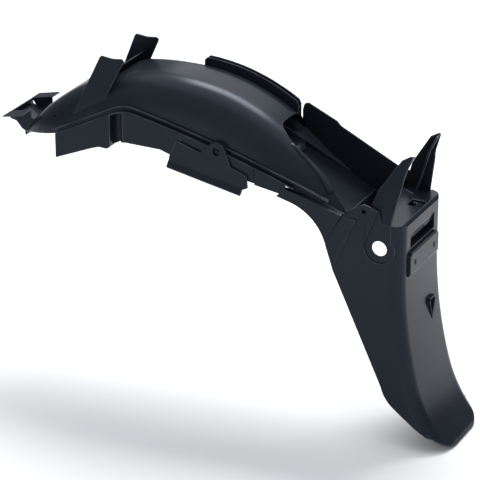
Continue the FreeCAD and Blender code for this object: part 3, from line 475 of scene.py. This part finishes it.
@dataclass
class RimStrip(AddedForm):
    """Slanting strip along the edge where the hood opens into the well.

    The rim is a curve in plan, along behind the well's front and across from the middle. The crest line
    falls rearwards from crest_x and crest_z, and the hood's top is flat for flat_half before the shoulder's
    arc. Lengths are in millimetres.
    """

    name: str = "hood_rim_strip"
    well_front: float = -189.0
    along: tuple[float, ...] = (28.0, 41.0, 59.0, 72.0, 85.0, 95.0, 105.0)
    across: tuple[float, ...] = (35.5, 38.0, 39.0, 40.5, 43.5, 46.5, 50.5)
    curve_degree: int = 3
    steps: int = 49
    crest_z: float = 147.9
    crest_x: float = -193.0
    crest_fall: float = 0.6288
    shoulder: float = 50.0
    flat_half: float = 20.0
    narrow: float = 5.0
    wide: float = 13.0
    rise: float = 2.6
    wall: float = 2.0
    # the strip comes up to its full rise over this share of its length
    fade: float = 0.12
    # points across the strip in shares of its width, and up in shares of its rise
    section: tuple[tuple[float, float], ...] = (
        (-1.0, -0.6), (-0.95, 0.3), (-0.86, 0.8), (-0.74, 1.0), (-0.35, 0.66), (-0.05, 0.4), (0.04, 0.2),
        (0.08, -0.2), (0.08, -0.9))

    def sheets(self) -> tuple[np.ndarray, np.ndarray]:
        """Sweeps the strip's section along the rim.

        The rim's height is the falling crest line less the drop of the shoulder's arc. The section rises
        from the hood, slants down to the rim and turns over it. Its width grows evenly along the rim.

        Returns:
            The outer and the inner sheet.
        """
        u = np.linspace(0.0, 1.0, self.steps)
        along = np.interp(u, np.linspace(0.0, 1.0, len(self.along)), self.along)
        x = self.well_front + along
        y = -np.polyval(np.polyfit(self.along, self.across, self.curve_degree), along)
        turn = (np.abs(y) - self.flat_half) / self.shoulder
        level = np.sqrt(1.0 - turn ** 2)
        tilt = math.hypot(1.0, self.crest_fall)
        z = self.crest_z - self.crest_fall * (x - self.crest_x) - self.shoulder * (1.0 - level) * tilt
        line = np.stack([x, y, z], -1)
        outward = np.stack([level * self.crest_fall / tilt, -turn, level / tilt], -1)
        run = np.gradient(line, axis=0)
        run /= np.linalg.norm(run, axis=1, keepdims=True)
        sideways = np.cross(outward, run)
        width = self.narrow + (self.wide - self.narrow) * u
        lift = self.rise * np.sqrt(np.clip(u / self.fade, 0.0, 1.0))
        over, up = np.array(self.section).T
        outside = (line[:, None] + sideways[:, None] * np.outer(width, over)[..., None]
                   + outward[:, None] * np.outer(lift, up)[..., None])
        return outside * MM, (outside - outward[:, None] * self.wall) * MM


@dataclass
class FinRoot(AddedForm):
    """Foot of a fin: its face runs on down until it dies into the hood's shoulder.

    Lengths are in millimetres, and start and stop are measured down the fin from its top.
    """

    name: str = "fin_root"
    sides: tuple[Side, ...] = tuple(Side)
    grid: tuple[int, int] = (17, 9)
    front_x: float = -478.0
    top_z: float = 216.5
    half: float = 56.0
    length: float = 41.5
    rake: float = math.radians(24.0)
    lean: float = math.radians(7.0)
    wall: float = 2.4
    start: float = 70.0
    stop: float = 102.0
    proud: float = 0.06
    sink: float = 1.6

    def sheets(self) -> tuple[np.ndarray, np.ndarray]:
        """Draws the face on the fin's plane.

        The first parameter runs down the fin and the second along it. The plane leans outwards going down,
        and the face bends in under the hood's surface with the square of the first parameter.

        Returns:
            The outer and the inner sheet.
        """
        u, v = parameters(*self.grid)
        down = self.start + (self.stop - self.start) * u
        x = self.front_x - math.tan(self.rake) * down + self.length * v
        y = -self.half - math.sin(self.lean) * down - self.proud + self.sink * u ** 2
        z = self.top_z - math.cos(self.lean) * down
        outside = np.stack([x, y, z], -1)
        return outside * MM, (outside + np.array([0.0, self.wall, 0.0])) * MM


@dataclass
class ClipBack(AddedForm):
    """Panel behind each clip plate, level with the skirts, under the ledge.

    Lengths are in millimetres, and top and bottom are measured down from the ledge.
    """

    name: str = "clip_back_panel"
    sides: tuple[Side, ...] = tuple(Side)
    grid: tuple[int, int] = (33, 5)
    start: float = -333.0
    stop: float = -207.0
    apex_x: float = -430.0
    apex_z: float = 152.0
    end_x: float = -85.0
    drop: float = 93.0
    bow: float = 8.0
    top: float = 10.5
    bottom: float = 33.0
    face: float = -75.2
    wall: float = 2.0

    def sheets(self) -> tuple[np.ndarray, np.ndarray]:
        """Draws the panel between two lines below the ledge.

        The ledge is a straight fall with a parabola as high as the bow added to it. The first parameter
        runs along the ledge and the second down the panel.

        Returns:
            The outer and the inner sheet.
        """
        u, v = parameters(*self.grid)
        x = self.start + (self.stop - self.start) * u
        part = (x - self.apex_x) / (self.end_x - self.apex_x)
        ledge = self.apex_z - self.drop * part + 4.0 * self.bow * part * (1.0 - part)
        z = ledge - self.top - (self.bottom - self.top) * v
        outside = np.stack([x, np.full_like(x, self.face), z], -1)
        return outside * MM, (outside + np.array([0.0, self.wall, 0.0])) * MM


@dataclass
class FlapCorner(AddedForm):
    """Web that joins the end of a side wall's rim to the flap's rounded corner.

    It has an upper and a lower edge, each with its two ends. Lengths are in millimetres.
    """

    name: str = "flap_corner_web"
    sides: tuple[Side, ...] = tuple(Side)
    grid: tuple[int, int] = (9, 5)
    upper: tuple[Point, Point] = ((79.6, -76.0, -292.0), (88.3, -69.6, -290.2))
    lower: tuple[Point, Point] = ((82.2, -75.1, -295.2), (91.2, -69.0, -300.3))
    inward: Point = (-0.6, 2.2, 0.3)
    bow: float = 0.35

    def sheets(self) -> tuple[np.ndarray, np.ndarray]:
        """Draws a sheet straight between its two edges, bowed outwards as a parabola along them.

        Returns:
            The outer and the inner sheet.
        """
        u, v = parameters(*self.grid)
        upper_start, upper_end = np.array(self.upper)
        lower_start, lower_end = np.array(self.lower)
        upper = upper_start + (upper_end - upper_start) * u[..., None]
        lower = lower_start + (lower_end - lower_start) * u[..., None]
        inward = np.array(self.inward)
        bulge = 4.0 * self.bow * u * (1.0 - u)
        outside = upper + (lower - upper) * v[..., None] - inward * bulge[..., None]
        return outside * MM, (outside + inward) * MM


@dataclass
class NosePatch(AddedForm):
    """Skin over a small gap in the left shoulder of the nose. Lengths are in millimetres."""

    name: str = "nose_shoulder_patch"
    grid: tuple[int, int] = (17, 13)
    middle: Point = (-557.7, -57.6, 109.6)
    outward: Point = (-0.42, -0.75, 0.51)
    length_run: Point = (1.0, -0.38, 0.26)
    half_length: float = 9.0
    half_width: float = 8.0
    length_radius: float = 75.0
    width_radius: float = 30.0
    proud: float = 0.28
    wall: float = 1.2

    def sheets(self) -> tuple[np.ndarray, np.ndarray]:
        """Draws a shallow dome: a plane that falls away with the square of the distance each way.

        Its middle stands proud of the given point, and its border dips under the shoulder's surface.

        Returns:
            The outer and the inner sheet.
        """
        u, v = parameters(*self.grid)
        a = (2.0 * u - 1.0) * self.half_length
        b = (2.0 * v - 1.0) * self.half_width
        normal = np.array(self.outward) / np.linalg.norm(self.outward)
        run = np.array(self.length_run) / np.linalg.norm(self.length_run)
        rise = np.cross(normal, run)
        height = self.proud - a ** 2 / (2.0 * self.length_radius) - b ** 2 / (2.0 * self.width_radius)
        flat = np.array(self.middle) + a[..., None] * run + b[..., None] * rise
        outside = flat + height[..., None] * normal
        return outside * MM, (outside - self.wall * normal) * MM


@dataclass(frozen=True)
class FloorPaper:
    """White background paper: a matt sheet that gives an even pale ground."""

    name: str = "matt_white_background_paper"
    colour: str = "#f4f5f6"
    roughness: float = 0.9

    def material(self) -> bpy.types.Material:
        """Builds the paper's material.

        Returns:
            The finished material.
        """
        made = bpy.data.materials.new(self.name)
        made.use_nodes = True
        shader = made.node_tree.nodes["Principled BSDF"]
        shader.inputs["Base Color"].default_value = linear(self.colour)
        shader.inputs["Roughness"].default_value = self.roughness
        return made


@dataclass(frozen=True)
class Diffuser:
    """A far sheet of white cloth that lights the whole stage alike. Its width is an angle in degrees."""

    name: str
    place: Point
    width: float
    strength: float

    def lamp(self) -> bpy.types.Light:
        """Makes the diffuser's light.

        Returns:
            A sun as wide as the sheet looks from the part.
        """
        light = bpy.data.lights.new(self.name, "SUN")
        light.energy = self.strength
        light.angle = math.radians(self.width)
        return light


@dataclass(frozen=True)
class Softbox:
    """A lit sheet near the part. Its size is in metres, and a radiance of 1 is white in the picture."""

    name: str
    place: Point
    width: float
    height: float
    radiance: float

    def lamp(self) -> bpy.types.Light:
        """Makes the softbox's light.

        Returns:
            A rectangle whose power is its radiance times pi times its area.
        """
        light = bpy.data.lights.new(self.name, "AREA")
        light.shape = "RECTANGLE"
        light.size = self.width
        light.size_y = self.height
        light.energy = self.radiance * math.pi * self.width * self.height
        return light


@dataclass
class Studio:
    """Floor, lights and camera round the part.

    Lengths are in metres and angles in degrees, and the lens and its sensor are in millimetres. The camera
    looks at target from azimuth and elevation.
    """

    floor_half: float = 14.0
    floor_gap: float = 1.0 * MM
    floor_lines: int = 3
    azimuth: float = 27.0
    elevation: float = 24.5
    distance: float = 4.048
    lens: float = 195.9
    sensor: float = 36.0
    sight: float = 50.0
    target: Point = (-0.268, 0.0, -0.0713)
    room_colour: str = "#e6eefa"
    room_strength: float = 0.22
    lamps: tuple[Diffuser | Softbox, ...] = (
        Diffuser("diffuse_ceiling", place=(-0.5, 0.9, 2.6), width=75.0, strength=1.25),
        Diffuser("front_diffuser", place=(0.6, -2.6, 2.0), width=130.0, strength=1.0),
        Softbox("overhead_softbox", place=(-0.4, 1.1, 2.1), width=1.6, height=0.8, radiance=13.0),
        Softbox("backdrop_softbox", place=(-0.95, 2.9, 1.45), width=2.2, height=1.3, radiance=1.0))
    paper: FloorPaper = field(default_factory=FloorPaper)

    def floor(self) -> bpy.types.Object:
        """Lays the sheet of paper just under the part's lowest point.

        The sheet is a grid of two parameters, u along the length and v along the width, at one height.

        Returns:
            The floor.
        """
        height = Vector(CAD_BOX[0]).z - self.floor_gap
        u, v = parameters(self.floor_lines, self.floor_lines)
        x = (2.0 * u - 1.0) * self.floor_half
        y = (2.0 * v - 1.0) * self.floor_half
        points = np.stack([x, y, np.full_like(x, height)], -1).reshape(-1, 3)
        faces = grid_faces(np.arange(x.size).reshape(x.shape))
        mesh = bpy.data.meshes.new("pale_floor")
        mesh.from_pydata(points.tolist(), [], faces.tolist())
        mesh.materials.append(self.paper.material())
        sheet = bpy.data.objects.new("pale_floor", mesh)
        bpy.context.scene.collection.objects.link(sheet)
        return sheet

    def hang(self, light: bpy.types.Light, place: Point) -> None:
        """Hangs a light so that it faces the part.

        Args:
            light: the light to hang.
            place: where its middle hangs.
        """
        lamp = bpy.data.objects.new(light.name, light)
        lamp.location = place
        lamp.rotation_euler = (Vector(self.target) - Vector(place)).to_track_quat("-Z", "Y").to_euler()
        bpy.context.scene.collection.objects.link(lamp)

    def light(self) -> None:
        """Hangs the lights and sets the room's own light.

        A ceiling and a front diffuser light the stage evenly. A bright softbox overhead draws the pale band
        along the shoulder, and a dim one stands behind the part.
        """
        for source in self.lamps:
            self.hang(source.lamp(), source.place)
        world = bpy.data.worlds.new("studio_room")
        world.use_nodes = True
        room = world.node_tree.nodes["Background"]
        room.inputs["Color"].default_value = linear(self.room_colour)
        room.inputs["Strength"].default_value = self.room_strength
        bpy.context.scene.world = world
        bpy.context.scene.view_settings.view_transform = "Standard"

    def camera(self) -> None:
        """Sets the camera at the photograph's viewing angle."""
        turn = math.radians(self.azimuth)
        rise = math.radians(self.elevation)
        back = Vector((math.sin(turn) * math.cos(rise), -math.cos(turn) * math.cos(rise), math.sin(rise)))
        optics = bpy.data.cameras.new("photo_camera")
        optics.lens = self.lens
        optics.sensor_width = self.sensor
        optics.clip_end = self.sight
        view = bpy.data.objects.new("photo_camera", optics)
        view.location = Vector(self.target) + back * self.distance
        view.rotation_euler = back.to_track_quat("Z", "Y").to_euler()
        bpy.context.scene.collection.objects.link(view)
        bpy.context.scene.camera = view


def main() -> None:
    """Builds the part's pieces and the studio in order, and reports each."""
    logging.basicConfig(level=logging.INFO, format="%(name)s: %(message)s")
    material = MouldedPolypropylene().material()
    # the pale grey of the edges is a painted highlight
    edge_highlight_material = PaintedEdgeHighlight().material()
    moulding = Moulding()
    moulding.dress(moulding.build(), {MouldingSlot.SKIN: material, MouldingSlot.EDGE: edge_highlight_material})
    for form in (RimStrip(), FinRoot(), ClipBack(), FlapCorner(), NosePatch()):
        form.dress(form.build(), material)
    studio = Studio()
    studio.floor()
    studio.light()
    studio.camera()
    LOG.info("studio set")


if __name__ == "__main__":
    main()
